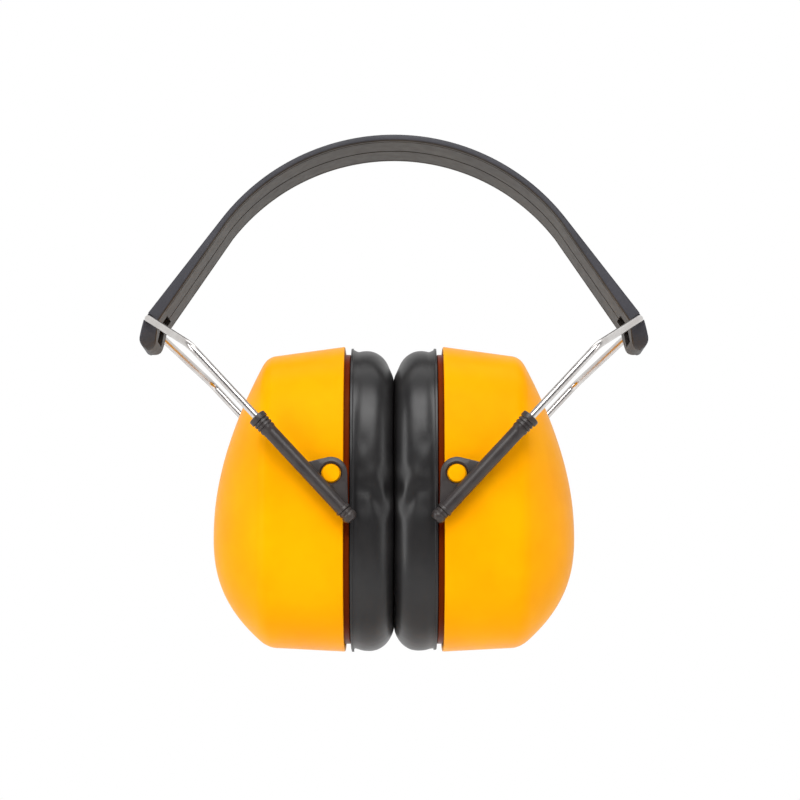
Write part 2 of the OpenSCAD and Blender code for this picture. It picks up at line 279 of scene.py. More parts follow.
def foam(name, dark, light, pore):
    """Open-cell foam, whose pores are about pore mm across, each painted dark at its middle as
    painted shade in the hollow.
    """
    f = Finish(name, light, 0.95, Specular_IOR_Level=0.1)
    pores = f.cells(pore)
    # Painted shade: the pores go dark at their middles, where the bump makes them hollow.
    f.colour(f.ramp(pores, [(0.15, dark), (0.6, light)]))
    f.bump(pores, 0.5, 0.8)
    f.bump(f.noise(0.5, 3), 0.15, 0.6)
    return f.material


def plate_plastic():
    f = Finish("plate_plastic", (0.02, 0.02, 0.021), 0.5)
    f.colour(f.ramp(f.noise(8), [(0.3, (0.016, 0.016, 0.017)), (0.7, (0.028, 0.028, 0.029))]))
    f.bump(f.noise(0.4, 2), 0.02, 0.4)
    return f.material


FINISH = {
    "band_plastic": band_plastic(),
    "spring_wire": chrome(),
    "bracket_plastic": bracket_plastic(),
    "cup_plastic": cup_plastic("cup_plastic", (0.87, 0.33, 0.0005), (0.93, 0.385, 0.0009)),
    # Painted shade: the seat ring is the cup's yellow plastic, painted dark red as the shadowed
    # gap between cup and cushion.
    "seat_plastic": cup_plastic("seat_plastic", (0.13, 0.012, 0.001), (0.20, 0.026, 0.002)),
    "acoustic_foam": foam("acoustic_foam", (0.02, 0.02, 0.021), (0.13, 0.13, 0.135), 1.6),
    "plate_plastic": plate_plastic(),
    "cushion_foam": foam("cushion_foam", (0.1, 0.1, 0.1), (0.3, 0.3, 0.29), 1.0),
    "cushion_vinyl": vinyl(),
}


# ---- mesh helpers --------------------------------------------------------------------

def rings(points, closed=False, capped=True):
    """A skin over equal rings of points. closed joins the last ring to the first one."""
    n = len(points[0])
    m = len(points)
    faces = []
    for k in range(m if closed else m - 1):
        a, b = k * n, ((k + 1) % m) * n
        faces += [(a + i, a + (i + 1) % n, b + (i + 1) % n, b + i) for i in range(n)]
    if capped and not closed:
        faces += [tuple(range(n))[::-1], tuple(range((m - 1) * n, m * n))]
    return [tuple(p) for ring in points for p in ring], faces


def joined(*shapes):
    points, faces = [], []
    for some, more in shapes:
        start = len(points)
        points += some
        faces += [tuple(i + start for i in face) for face in more]
    return points, faces


def placed(shape, place):
    return [tuple(place(*p)) for p in shape[0]], shape[1]


def lathe(profile, steps=48, closed=False):
    """A profile of (radius, z) turned round Z. closed is a profile that meets itself."""
    turns = [2 * math.pi * i / steps for i in range(steps)]
    return rings([[(r * math.cos(a), r * math.sin(a), z) for a in turns] for r, z in profile],
                 closed)


def new_object(name, shape, flip=(1, 1)):
    """A mesh object from a shape in mm, mirrored in X or Y where flip says -1."""
    mesh = bpy.data.meshes.new(name)
    scale = np.array([flip[0], flip[1], 1]) * MM
    mesh.from_pydata([tuple(np.array(p) * scale) for p in shape[0]], [], shape[1])
    made = bpy.data.objects.new(name, mesh)
    bpy.context.scene.collection.objects.link(made)
    tidy(made)
    return made


def tidy(made, sharp=32.0):
    """Faces turned outwards, smooth shading, and a hard edge where the surface turns."""
    bm = bmesh.new()
    bm.from_mesh(made.data)
    bmesh.ops.remove_doubles(bm, verts=bm.verts, dist=1e-6)
    bmesh.ops.dissolve_degenerate(bm, edges=bm.edges, dist=1e-6)
    bmesh.ops.recalc_face_normals(bm, faces=bm.faces)
    for face in bm.faces:
        face.smooth = True
    for edge in bm.edges:
        edge.smooth = edge.calc_face_angle(0) < math.radians(sharp)
    bm.to_mesh(made.data)
    bm.free()


def apply_modifiers(made):
    made.data = bpy.data.meshes.new_from_object(
        made.evaluated_get(bpy.context.evaluated_depsgraph_get()))
    made.modifiers.clear()


def cut(made, shapes, operation="DIFFERENCE"):
    """Cuts shapes in mm out of an object, or adds them with UNION."""
    for shape in shapes:
        tool = new_object("tool", shape)
        modifier = made.modifiers.new("cut", "BOOLEAN")
        modifier.object = tool
        modifier.operation = operation
        modifier.solver = "EXACT"
        apply_modifiers(made)
        bpy.data.objects.remove(tool)
    tidy(made)


def weighted(made):
    """Shading that keeps flat faces flat beside their rounded edges."""
    modifier = made.modifiers.new("weighted", "WEIGHTED_NORMAL")
    modifier.keep_sharp = True
    return made


def finished(made, slot, body, *nodes):
    """Gives a piece the material of its slot and its body, and hides the CAD nodes that it
    stands for.
    """
    made.data.materials.clear()
    made.data.materials.append(FINISH[slot])
    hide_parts(*nodes)
    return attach(made, body)


def mark_painted_shade(made, value):
    """Stores value(place in mm, normal) on each point, for where the band's shade is painted.
    """
    mesh = made.data
    layer = mesh.attributes.new("inside", "FLOAT", "POINT")
    values = [value(np.array(v.co) / MM, v.normal) for v in mesh.vertices]
    layer.data.foreach_set("value", np.array(values, np.float32))


# ---- headband ------------------------------------------------------------------------

ARCH_C = np.array([0.0, CROWN_Z - ARCH_R])
ARM_START = ARCH_C + ARCH_R * np.array([math.sin(ARCH_ANGLE), math.cos(ARCH_ANGLE)])
ARM_DIR = np.array([math.cos(ARCH_ANGLE), -math.sin(ARCH_ANGLE)])
ARM_IN = np.array([-math.sin(ARCH_ANGLE), -math.cos(ARCH_ANGLE)])
PIVOT_S = float((PIVOT - ARM_START) @ ARM_DIR)
PIVOT_D = float((PIVOT - ARM_START) @ ARM_IN)
STEP_S = PIVOT_S - WIRE_D / 2 - 0.35


def arm(s, d):
    """A point in X and Z: s down the outside of the straight arm, d below that face."""
    return ARM_START + s * ARM_DIR + d * ARM_IN


def touch(p, centre, radius, side):
    """Where a line from p touches a circle, as an angle round the circle."""
    v = centre - p
    away = math.hypot(*v)
    angle = math.atan2(v[1], v[0]) + side * math.asin(radius / away)
    reach = math.sqrt(away ** 2 - radius ** 2)
    x, z = p + reach * np.array([math.cos(angle), math.sin(angle)]) - centre
    return math.atan2(z, x)


def foot_half(z):
    """Half the foot's width at a height: its two lower corners are rounded."""
    over = max(0.0, FOOT_C[1] - FOOT_R + FOOT_CORNER_R - z)
    inside = max(0.0, FOOT_CORNER_R ** 2 - min(over, FOOT_CORNER_R) ** 2)
    return FOOT_HALF - FOOT_CORNER_R + math.sqrt(inside)


def band_section(outer, inner, half0, half1, groove):
    """A ring round the band between its outer and inner line, with grooves inside.

    half0 and half1 are half its width outside and inside, and groove is 0 for no grooves.
    """
    t = math.hypot(*(inner - outer))
    r = min(BAND_FILLET, 0.42 * t, 0.42 * half0)
    arc = [math.radians(a) for a in (0, 22.5, 45, 67.5, 90)]
    ring = [(half0 - r + r * math.sin(a), r - r * math.cos(a)) for a in arc]
    ring += [(half1 - r + r * math.cos(a), t - r + r * math.sin(a)) for a in arc]
    deep = groove * GROOVE_DEEP
    edge = [(1.6, 0), (1.75, 0.5), (1.8, 1), (2.15, 1), (2.2, 0.5), (2.35, 0)]
    middle = [(0.6, 0), (0.45, 0.8), (0.3, 1.3)]
    share = half1 / BAND_HALF
    ring += [(half1 - y * share, t - deep * k) for y, k in edge]
    ring += [(y * share, t - deep * k) for y, k in middle]
    ring += [(-y, d) for y, d in ring[::-1]]
    step = (inner - outer) / t
    return [(outer[0] + step[0] * d, y, outer[1] + step[1] * d) for y, d in ring]


def band_stations():
    """Sections from the crown to the tip of the right-hand foot."""
    made = []
    for a in np.linspace(0, ARCH_ANGLE, 31):
        n = np.array([math.sin(a), math.cos(a)])
        made.append(band_section(ARCH_C + ARCH_R * n, ARCH_C + (ARCH_R - ARCH_T) * n,
                                 BAND_HALF, BAND_HALF, 1))
    window_top = STEP_S - 0.4 - WINDOW_LEN
    for s in np.linspace(0, STEP_S, 24)[1:]:
        t = ARCH_T + (ARM_END_T - ARCH_T) * s / STEP_S
        groove = float(np.clip((window_top - s) / 2, 0, 1))
        made.append(band_section(arm(s, 0), arm(s, t), BAND_HALF, BAND_HALF, groove))
    heel = arm(PIVOT_S + 1, 0)
    toe = arm(STEP_S, ARM_END_T)
    a0 = touch(heel, FOOT_C, FOOT_R, 1)
    a1 = touch(toe, FOOT_C, FOOT_R, -1)
    if a0 < a1:
        a0 += 2 * math.pi
    tip = (a0 + a1) / 2 - math.pi * (1 if a0 - a1 < math.pi else 0)
    # Both sides run down to the foot's round end and meet at its tip
    outers = [arm(s, 0) for s in np.linspace(STEP_S, PIVOT_S + 1, 4)]
    rim0 = FOOT_C + FOOT_R * np.array([math.cos(a0), math.sin(a0)])
    outers += [heel + (rim0 - heel) * u for u in (0.12, 0.35, 0.65, 1)]
    rim1 = FOOT_C + FOOT_R * np.array([math.cos(a1), math.sin(a1)])
    inners = [toe + (rim1 - toe) * u for u in np.linspace(0, 1, len(outers))]
    for u in (0.2, 0.4, 0.58, 0.74, 0.87, 0.96):
        b0 = a0 + (tip - a0) * u
        b1 = a1 + (tip - a1) * u
        outers.append(FOOT_C + FOOT_R * np.array([math.cos(b0), math.sin(b0)]))
        inners.append(FOOT_C + FOOT_R * np.array([math.cos(b1), math.sin(b1)]))
    for outer, inner in zip(outers, inners):
        made.append(band_section(outer, inner, foot_half(outer[1]), foot_half(inner[1]), 0))
    return made


def slab(corners, half):
    """A prism across the band, from its corners in X and Z."""
    return rings([[(x, y, z) for x, z in corners] for y in (-half, half)])


def arm_box(s0, s1, d0, d1, half):
    """A block across the band, between two places down the arm and two depths."""
    return slab([arm(s0, d0), arm(s1, d0), arm(s1, d1), arm(s0, d1)], half)


def band_cuts():
    """The wire's bore and its mouth, and the clip's two windows."""
    turns = [2 * math.pi * i / 40 for i in range(40)]
    bore = slab([PIVOT + BORE_R * np.array([math.cos(a), math.sin(a)]) for a in turns],
                BAND_HALF + 1)
    mouth = arm_box(PIVOT_S - MOUTH_HALF, PIVOT_S + MOUTH_HALF, -1, PIVOT_D, BAND_HALF + 1)
    upper = arm_box(STEP_S - 0.4 - WINDOW_LEN, STEP_S - 0.4, 2.2, 8, WINDOW_HALF)
    lower = arm_box(PIVOT_S - 0.6, PIVOT_S + 3.8, PIVOT_D, 12, WINDOW_HALF)
    return [bore, mouth, upper, lower]


def gate_mark(degrees):
    """A small nick left by the mould, on the band's front outer edge."""
    a = math.radians(degrees)
    out, along = np.array([math.sin(a), math.cos(a)]), np.array([math.cos(a), -math.sin(a)])
    p = ARCH_C + ARCH_R * out
    corners = [p + out * d + along * s for s, d in ((-0.5, 0.5), (0.5, 0.5), (0.35, -0.6),
                                                    (-0.35, -0.6))]
    return rings([[(x, y, z) for x, z in corners]
                  for y in (-BAND_HALF - 0.5, -BAND_HALF + 0.7)])


def flipped(shape):
    return placed(shape, lambda x, y, z: (-x, y, z))


def headband():
    right = band_stations()
    left = [[(-x, y, z) for x, y, z in ring] for ring in right]
    made = new_object("headband_band", rings(left[:0:-1] + right))
    cuts = band_cuts()
    marks = [gate_mark(19), gate_mark(52.5)]
    cut(made, cuts + [flipped(c) for c in cuts] + marks)

    def shaded_underside(place, normal):
        """Where shade is painted: 1 on the face towards the head, which looks in and down, 0 on
        the outside and the two edges.
        """
        out = Vector((place[0], 0, place[2] - ARCH_C[1])).normalized()
        if abs(place[0]) > ARM_START[0]:
            out = Vector((math.copysign(-ARM_IN[0], place[0]), 0, -ARM_IN[1]))
        return float(np.clip(-normal.dot(out) * 1.6 - 0.3, 0, 1))

    mark_painted_shade(made, shaded_underside)
    return finished(weighted(made), "band_plastic", "headband", "headband")


# ---- wire yokes ----------------------------------------------------------------------

def unit(v):
    return v / np.linalg.norm(v)


def rounded(corner, u, v, radius):
    """Points round a bend at a corner, between the directions of travel u and v."""
    turn = math.acos(float(np.clip(u @ v, -1, 1)))
    start = corner - u * radius * math.tan(turn / 2)
    out = unit(v - u * (u @ v))
    centre = start + out * radius
    return [centre + radius * (u * math.sin(a) - out * math.cos(a))
            for a in np.linspace(0, turn, BEND_STEPS)]


def tube(path, radius):
    """A round wire along a path, a little narrower at its two ends."""
    path = [np.array(p, float) for p in path]
    across = unit(np.cross(path[1] - path[0], (0.3, 0.5, 0.8)))
    made = []
    for k, p in enumerate(path):
        along = unit(path[min(k + 1, len(path) - 1)] - path[max(k - 1, 0)])
        across = unit(across - along * (across @ along))
        side = np.cross(along, across)
        r = radius * (0.8 if k in (0, len(path) - 1) else 1)
        made.append([p + r * (across * math.cos(a) + side * math.sin(a))
                     for a in (2 * math.pi * i / WIRE_SIDES for i in range(WIRE_SIDES))])
    return rings(made)


def wire_path():
    """The wire's middle line, from the rear leg's end round to the front leg's end."""
    down = np.array([-UP_LEG[0], 0, -UP_LEG[2]])
    splay = unit(BEND - YOKE_CORNER)
    end = BEND + down * LEG_END
    front = [*rounded(YOKE_CORNER, np.array([0, -1.0, 0]), splay, YOKE_BEND_R),
             *rounded(BEND, splay, down, LEG_BEND_R), end - down * 0.25, end]
    rear = [p * np.array([1, -1, 1]) for p in front[::-1]]
    return rear + front


def wire_yoke(side):
    made = new_object(f"{side}_yoke_wire", tube(wire_path(), WIRE_D / 2), (SIDES[side], 1))
    return finished(made, "spring_wire", f"{side}_yoke", f"{side}_wire_yoke")


# ---- slider brackets and end caps ----------------------------------------------------

def on_leg(x, y, z):
    """From the leg's own axes to the object's: Z runs up the leg, -X to the wearer."""
    c, s = math.cos(LEG_ANGLE), math.sin(LEG_ANGLE)
    return BEND[0] + x * c + z * s, BEND[1] + y, BEND[2] - x * s + z * c


def on_leg_mm(point):
    """The leg's own X and Z of a point in the object's X and Z."""
    c, s = math.cos(LEG_ANGLE), math.sin(LEG_ANGLE)
    x, z = point[0] - BEND[0], point[1] - BEND[2]
    return np.array([x * c - z * s, x * s + z * c])


def ribbed_tube():
    """The slider's tube: a round-nosed ribbed collar, a plain barrel and a flange."""
    bore = BORE_R
    r = COLLAR_R
    profile = [(bore, 0.1), (bore + 0.2, 0.0), (r - 0.55, 0.0), (r - 0.15, 0.15), (r, 0.45),
               (r, 1.75), (r - 0.1, 1.95), (r - 0.55, 2.05), (r - 0.55, 2.35),
               (r - 0.28, 2.5), (r - 0.22, 2.7), (r - 0.24, 3.2), (r - 0.6, 3.35),
               (r - 0.6, 3.65), (r - 0.34, 3.8), (r - 0.3, 4.0), (r - 0.32, 4.5),
               (r - 0.64, 4.65), (r - 0.64, 4.95), (r - 0.42, 5.1), (r - 0.4, 5.9),
               (TUBE_R, 6.5), (TUBE_R, 7.2)]
    length = TUBE_END - COLLAR_TOP
    flange = TUBE_R + 0.24
    profile += [(TUBE_R, z) for z in np.linspace(9, length - 2, 12)]
    profile += [(TUBE_R, length - 1.15), (flange - 0.06, length - 1.0), (flange, length - 0.8),
                (flange, length - 0.2), (flange - 0.15, length - 0.03), (bore + 0.2, length),
                (bore, length)]
    profile += [(bore, z) for z in (length * 0.75, length * 0.5, length * 0.25)]
    return placed(lathe(profile, 56, closed=True), lambda x, y, z: (x, y, -COLLAR_TOP - z))


def lobe_reach(angle, eye):
    """How far the lobe's outline is from the eye's centre, at an angle.

    It is round the eye, and two lines that touch the round end run to the tube, where it
    ends inside the wall. Between the two lines it reaches right to that end.
    """
    top = np.array([0.0, -LOBE_TOP])
    low = np.array([-TUBE_R + 0.15, -TUBE_END + 0.5])
    best = EYE_R
    ray = np.array([math.cos(angle), math.sin(angle)])
    for corner, side in ((top, -1), (low, 1)):
        a = touch(corner, eye, EYE_R, side)
        on_circle = EYE_R * np.array([math.cos(a), math.sin(a)])
        to_corner = corner - eye
        system = np.array([[ray[0], on_circle[0] - to_corner[0]],
                           [ray[1], on_circle[1] - to_corner[1]]])
        if abs(np.linalg.det(system)) > 1e-9:
            reach, share = np.linalg.solve(system, on_circle)
            if 0 <= share <= 1 and reach > best:
                best = reach
    to_top, to_low = top - eye, low - eye
    if ray[0] * to_top[1] > ray[1] * to_top[0] and ray[0] * to_low[1] < ray[1] * to_low[0]:
        best = 99.0
    if ray[0] > 1e-6:
        best = min(best, (-LOBE_ROOT - eye[0]) / ray[0])
    if ray[1] < -1e-6:
        best = min(best, (low[1] - eye[1]) / ray[1])
    return best


def lobe():
    """The flat lobe beside the tube, with a rounded edge and a raised eye."""
    eye = on_leg_mm(EYE)
    hole = TRUNNION_R + 0.05
    flare = hole + 0.5
    back, front = 2.6, 0.4                       # its faces, in from the leg's middle line
    r = 0.45                                     # of its outer edge
    boss = flare + 0.5
    made = []
    for a in (2 * math.pi * i / 120 for i in range(120)):
        reach = lobe_reach(a, eye)
        line = [(reach, back), (reach, front + r), (reach - 0.13 * r, front + 0.5 * r),
                (reach - 0.5 * r, front + 0.13 * r), (reach - r, front)]
        line += [(min(boss + 0.12, reach - r - 0.02), front), (boss, front - 0.06),
                 (boss - 0.15, front - 0.14), (flare + 0.12, front - 0.14),
                 (flare, front), (flare, front + 0.75), (hole, front + 1.0), (hole, back)]
        made.append([(eye[0] + q * math.cos(a), y, eye[1] + q * math.sin(a)) for q, y in line])
    return rings(made, closed=True)


def slider(side, end):
    made = new_object(f"{side}_{end}_bracket",
                      placed(joined(ribbed_tube(), lobe()), on_leg),
                      (SIDES[side], ENDS[end]))
    return finished(weighted(made), "bracket_plastic", f"{side}_slider", f"{side}_{end}_slider")


def end_cap(side, end):
    """The cap moulded on the wire's end: a neck, a groove and a wider bead."""
    top, tip = TUBE_END + 0.1, LEG_END + 1.1
    bore = WIRE_D / 2 + 0.02
    neck, bead = 2.3, 2.5
    profile = [(bore, top), (neck - 0.15, top), (neck, top + 0.12), (neck, top + 1.0),
               (neck - 0.15, top + 1.15), (neck - 0.15, top + 1.35), (bead - 0.06, top + 1.7),
               (bead, top + 2.0), (bead, top + 2.7), (bead - 0.25, top + 3.3),
               (bead - 0.8, tip - 0.1), (0.9, tip), (0.05, tip),
               (0.05, LEG_END + 0.05), (bore, LEG_END + 0.05)]
    shape = placed(lathe(profile, 40, closed=True), lambda x, y, z: on_leg(x, y, -z))
    made = new_object(f"{side}_{end}_wire_cap", shape, (SIDES[side], ENDS[end]))
    return finished(weighted(made), "bracket_plastic", f"{side}_yoke", f"{side}_{end}_end_cap")


# ---- cups ----------------------------------------------------------------------------

TURNS = [2 * math.pi * i / AROUND for i in range(AROUND)]


def outline_r(a, inset):
    """Radius of the cup's square-ish oval outline at an angle, moved in by inset."""
    b, h = HALF_D - inset, HALF_H - inset
    return ((abs(math.cos(a)) / b) ** 3 + (abs(math.sin(a)) / h) ** 3) ** (-1 / 3)


def outline_ring(inset, x, turns=TURNS):
    """A ring of points on the cup's outline, moved in by inset, at a place in X."""
    return [(x, outline_r(a, inset) * math.cos(a), HALF_H + outline_r(a, inset) * math.sin(a))
            for a in turns]


def dome_x(f, a, inset):
    """How far out the dome is at f times the corner's outline, at an angle round the cup."""
    return APEX_X - inset - DOME_RISE * f ** (2.2 - 0.45 * math.sin(a))


def cup_ring(f, x, inset):
    """A ring of the cup, f times the corner's outline. x is a place or a function of angle.

    Its centre sinks from the rim to the corner, and again from the corner to the crown.
    """
    sink = min(f, (1 - CORNER_SCALE * f) / (1 - CORNER_SCALE))
    drop = (HALF_H - APEX_Z) * max(0.0, 1 - f) + CORNER_DROP * sink
    made = []
    for a in TURNS:
        r = outline_r(a, inset) * CORNER_SCALE * f
        across = x(a) if callable(x) else x
        made.append((across, r * math.cos(a), HALF_H - drop + r * math.sin(a)))
    return made


def cup_skin(inset, rim_from):
    """Rings from near the rim over the corner to the crown of the dome."""
    wall_f0 = 1 / CORNER_SCALE
    wall_f1, wall_x1 = 1.004, CORNER_X - 2.5 - inset
    slope = (wall_f0 - wall_f1) / (wall_x1 - RIM_X)

    def wall(x):
        return wall_f0 - slope * (x - RIM_X)

    made = [cup_ring(wall(x), x, inset) for x in np.linspace(rim_from, wall_x1, 9)]
    top_f = 0.95
    for u in np.linspace(0, 1, 8)[1:]:          # a rounded corner between wall and dome
        f = (1 - u) ** 2 * wall_f1 + 2 * u * (1 - u) * 0.9985 + u ** 2 * top_f
        made.append(cup_ring(f, lambda a, u=u: (1 - u) ** 2 * wall_x1
                             + 2 * u * (1 - u) * (CORNER_X + 0.05 - inset)
                             + u ** 2 * dome_x(top_f, a, inset), inset))
    for f in np.linspace(top_f, 0.03, 30)[1:]:
        made.append(cup_ring(f, lambda a, f=f: dome_x(f, a, inset), inset))
    return made


def trunnion(end):
    """The stud moulded on the cup, which turns in the bracket's eye."""
    root, tip = HALF_D - CUP_WALL - 0.5, TRUNNION_TIP
    r = TRUNNION_R
    top = r - 0.28
    profile = [(0.02, root), (r, root), (r, tip - 0.9), (top, tip - 0.7), (top, tip - 0.25),
               (top - 0.08, tip - 0.08), (top - 0.3, tip), (top - 1.0, tip),
               (0.9, tip - 0.03), (0.02, tip - 0.03)]
    return placed(lathe(profile, 56),
                  lambda x, y, z: (EYE[0] + x, -z * ENDS[end], EYE[1] + y))


def cup_shell(side):
    """The hollow cup: its outside, a rounded rim and its inside, with both studs added."""
    outer = cup_skin(0, RIM_X + 0.6)
    inner = cup_skin(CUP_WALL, RIM_X + 0.5)
    rim = [outline_ring(i, x) for i, x in
           ((CUP_WALL - 0.15, RIM_X + 0.12), (CUP_WALL - 0.45, RIM_X),
            (0.55, RIM_X), (0.2, RIM_X + 0.1), (0.05, RIM_X + 0.3))]
    body = rings(inner[::-1] + rim + outer)
    made = new_object(f"{side}_cup_shell_detail", body, (SIDES[side], 1))
    studs = [trunnion(end) for end in ENDS]
    if side == "left":
        studs = [flipped(stud) for stud in studs]
    cut(made, studs, "UNION")
    return finished(weighted(made), "cup_plastic", f"{side}_cup", f"{side}_cup_shell")


def swept(section):
    """A closed section of (inset, x) points carried round the cup's outline."""
    return rings([outline_ring(i, x) for i, x in section], closed=True)


def eased(i0, i1, x0, x1, r=0.35):
    """A rectangular section with its corners eased."""
    corners = ((i0, x0, 1, 1), (i1, x0, -1, 1), (i1, x1, -1, -1), (i0, x1, 1, -1))
    made = []
    for n, (i, x, u, v) in enumerate(corners):
        first, last = (i, x + v * r), (i + u * r, x)
        middle = (i + u * r * 0.29, x + v * r * 0.29)
        made += [first, middle, last] if n % 2 == 0 else [last, middle, first]
    return made


def seat_ring(side):
    lo, hi = box_mm("right_seat_ring")
    made = new_object(f"{side}_seat_ring_detail",
                      swept(eased(lo[2], COVER_INSET + CUSHION_W, lo[0], hi[0])),
                      (SIDES[side], 1))
    # Its dark red finish is painted shade for the gap between the cup and the cushion.
    return finished(weighted(made), "seat_plastic", f"{side}_cup", f"{side}_seat_ring")


def cushion_plate(side):
    lo, hi = box_mm("right_cushion_plate")
    made = new_object(f"{side}_cushion_plate_detail",
                      swept(eased(lo[2], COVER_INSET + CUSHION_W, lo[0], hi[0], 0.25)),
                      (SIDES[side], 1))
    return finished(weighted(made), "plate_plastic", f"{side}_cup", f"{side}_cushion_plate")


def foam_liner(side):
    """A cut foam pad that bulges a little towards the ear, with an uneven surface."""
    lo, hi = box_mm("right_foam_liner")
    x0, x1 = lo[0], hi[0]
    inset = HALF_D - hi[1]
    line = [(0.02, 0), (0.2, 0), (0.4, 0), (0.6, 0), (0.75, 0), (0.88, 0), (0.95, 0.1),
            (0.985, 0.4), (1, 1.2), (1, 4), (1, 8), (1, 12), (1, x1 - x0 - 1.0),
            (0.985, x1 - x0 - 0.3), (0.95, x1 - x0), (0.6, x1 - x0), (0.02, x1 - x0)]
    made = []
    for f, depth in line:
        ring = []
        for a in TURNS[::2]:
            r = outline_r(a, inset) * f
            y, z = r * math.cos(a), HALF_H + r * math.sin(a)
            lump = 0.35 * noise.noise(Vector((y * 0.12, z * 0.12, depth * 0.1)))
            dish = 0.6 * f ** 2 if depth < 1 else 0.0
            ring.append((x0 + 0.35 + depth * 0.96 + dish + lump, y, z))
        made.append(ring)
    piece = new_object(f"{side}_foam_liner_pad", rings(made), (SIDES[side], 1))
    return finished(piece, "acoustic_foam", f"{side}_cup", f"{side}_foam_liner")


# ---- cushions ------------------------------------------------------------------------

SHOULDER_R = 7.8
INNER_R = 6.5
WALL_FROM = 13.3                 # where the skin's side walls start, next to the seat ring
FOAM_GAP = 1.6                   # from the skin's outside to the foam
PRESSURE = 3.0
MOST_MOVE = 1.1                  # the furthest that the simulation moves a point
TOP_GAP = 1.7                    # how far the faces draw back from each other at the top
BOTTOM_GAP = 0.7
PUFF = 0.45                      # how far they press forward, apart from those gaps
SOFT = 0.25                      # over this depth a face flattens against the other one
# The welded lip's rows, as (inset, x)
LIP = [(COVER_INSET - 0.02, 13.7), (COVER_INSET - 0.15, 13.86), (0.85, 13.88), (0.65, 13.9)]


def cushion_line(inset):
    """The skin's section from its back edge, over the face, to its inner back edge."""
    c0 = (COVER_INSET + SHOULDER_R, FACE_X + SHOULDER_R)
    c1 = (COVER_INSET + CUSHION_W - INNER_R, FACE_X + INNER_R)
    r0, r1 = SHOULDER_R - inset, INNER_R - inset
    made = [(COVER_INSET + inset, x) for x in (WALL_FROM, 12.2, 11, 9.6)]
    made += [(c0[0] - r0 * math.cos(a), c0[1] - r0 * math.sin(a))
             for a in np.linspace(0, math.pi / 2, 9)]
    made += [(i, FACE_X + inset) for i in np.linspace(c0[0], c1[0], 5)[1:-1]]
    made += [(c1[0] + r1 * math.sin(a), c1[1] - r1 * math.cos(a))
             for a in np.linspace(0, math.pi / 2, 8)]
    made += [(COVER_INSET + CUSHION_W - inset, x) for x in (8.4, 10.2, 12, WALL_FROM)]
    return made


def simulate(made, pinned, pressure, cap):
    """Cloth under pressure, with its pinned points held. No point moves over cap mm."""
    rest = np.array([v.co for v in made.data.vertices])
    grow = 10.0                                  # the solver works best near 1 m
    made.data.transform(Matrix.Scale(grow, 4))
    group = made.vertex_groups.new(name="pinned")
    group.add(pinned, 1.0, "REPLACE")
    cloth = made.modifiers.new("cloth", "CLOTH")
    settings = cloth.settings
    settings.quality = 6
    settings.mass = 0.3
    settings.tension_stiffness = 12
    settings.compression_stiffness = 12
    settings.shear_stiffness = 6
    settings.bending_stiffness = 0.4
    settings.shrink_min = -0.012
    settings.use_pressure = True
    settings.uniform_pressure_force = pressure
    settings.vertex_group_mass = "pinned"
    settings.effector_weights.gravity = 0
    cloth.point_cache.frame_start = 1
    cloth.point_cache.frame_end = 20
    for step in range(1, 21):
        bpy.context.scene.frame_set(step)
    apply_modifiers(made)
    bpy.context.scene.frame_set(1)
    made.vertex_groups.clear()
    moved = np.array([v.co for v in made.data.vertices]) / grow - rest
    length = np.linalg.norm(moved, axis=1)
    moved *= np.minimum(1, cap * MM / np.maximum(length, 1e-9))[:, None]
    made.data.vertices.foreach_set("co", (rest + moved).ravel())
    made.data.update()


def smoothstep(value, low, high):
    u = min(1.0, max(0.0, (value - low) / (high - low)))
    return u * u * (3 - 2 * u)


def puffed_skin(side):
    """The vinyl skin on the right-hand side: puffed up by simulation, then pressed flat."""
    line = cushion_line(0)
    turns = TURNS[::2]
    n = len(turns)
    loops = [outline_ring(i, x, turns) for i, x in line]
    made = new_object(f"{side}_cushion_cover_vinyl", rings(loops, capped=False))
    edges = [*range(2 * n), *range((len(line) - 2) * n, len(line) * n)]
    simulate(made, edges, PRESSURE, MOST_MOVE)
    press_cushion(made, side)
    return made


def contact(y, z):
    """The wavy surface, as a place in X, where the two soft faces press on each other."""
    return 0.3 * noise.noise(Vector((y * 0.07, z * 0.05, 4.4))) + 0.12 * math.sin(y * 0.45)


def press_cushion(made, side):
    """Gives the skin its waves, and presses its face flat against the other cushion's."""
    seed = Vector((3.1 * SIDES[side], 7.7, 0))
    points = []
    for v in made.data.vertices:
        x, y, z = (c / MM for c in v.co)
        near_face = 1 - smoothstep(x, 4, 13)
        x += near_face * (TOP_GAP * smoothstep(z, 90, 98)
                          + BOTTOM_GAP * (1 - smoothstep(z, 4, 13)) - PUFF)
        wave = noise.noise(Vector((x * 0.05, y * 0.06, z * 0.045)) + seed)
        ripple = noise.noise(Vector((x * 0.02, y * 0.16, z * 0.16)) + seed)
        sag = 0.35 - 1.1 * smoothstep(z, 75, 102)
        swell = (sag + 0.2 * wave + 0.07 * ripple) * (1 - smoothstep(x, 12.7, WALL_FROM))
        away = Vector((0, y, z - HALF_H)).normalized() * swell
        x, y, z = x + 0.3 * (swell - sag), y + away.y, z + away.z
        limit = 0.02 + SIDES[side] * contact(y, z)
        if x < limit + SOFT:
            x = limit + SOFT * math.exp((x - limit - SOFT) / SOFT)
        points.append((x * MM, y * MM, z * MM))
    made.data.vertices.foreach_set("co", np.array(points).ravel())


def cushion_cover(side):
    """The vinyl skin with its welded lip, subdivided, thickened, and mirrored on the left."""
    made = puffed_skin(side)
    add_lip(made, side)
    surface = made.modifiers.new("fine", "SUBSURF")
    surface.levels = surface.render_levels = 1
    thick = made.modifiers.new("skin", "SOLIDIFY")
    thick.thickness = SKIN * MM
    thick.offset = -1
    apply_modifiers(made)
    if side == "left":
        made.data.transform(Matrix.Scale(-1, 4, (1, 0, 0)))
    tidy(made, 50)
    return finished(made, "cushion_vinyl", f"{side}_cup", f"{side}_cushion_cover")


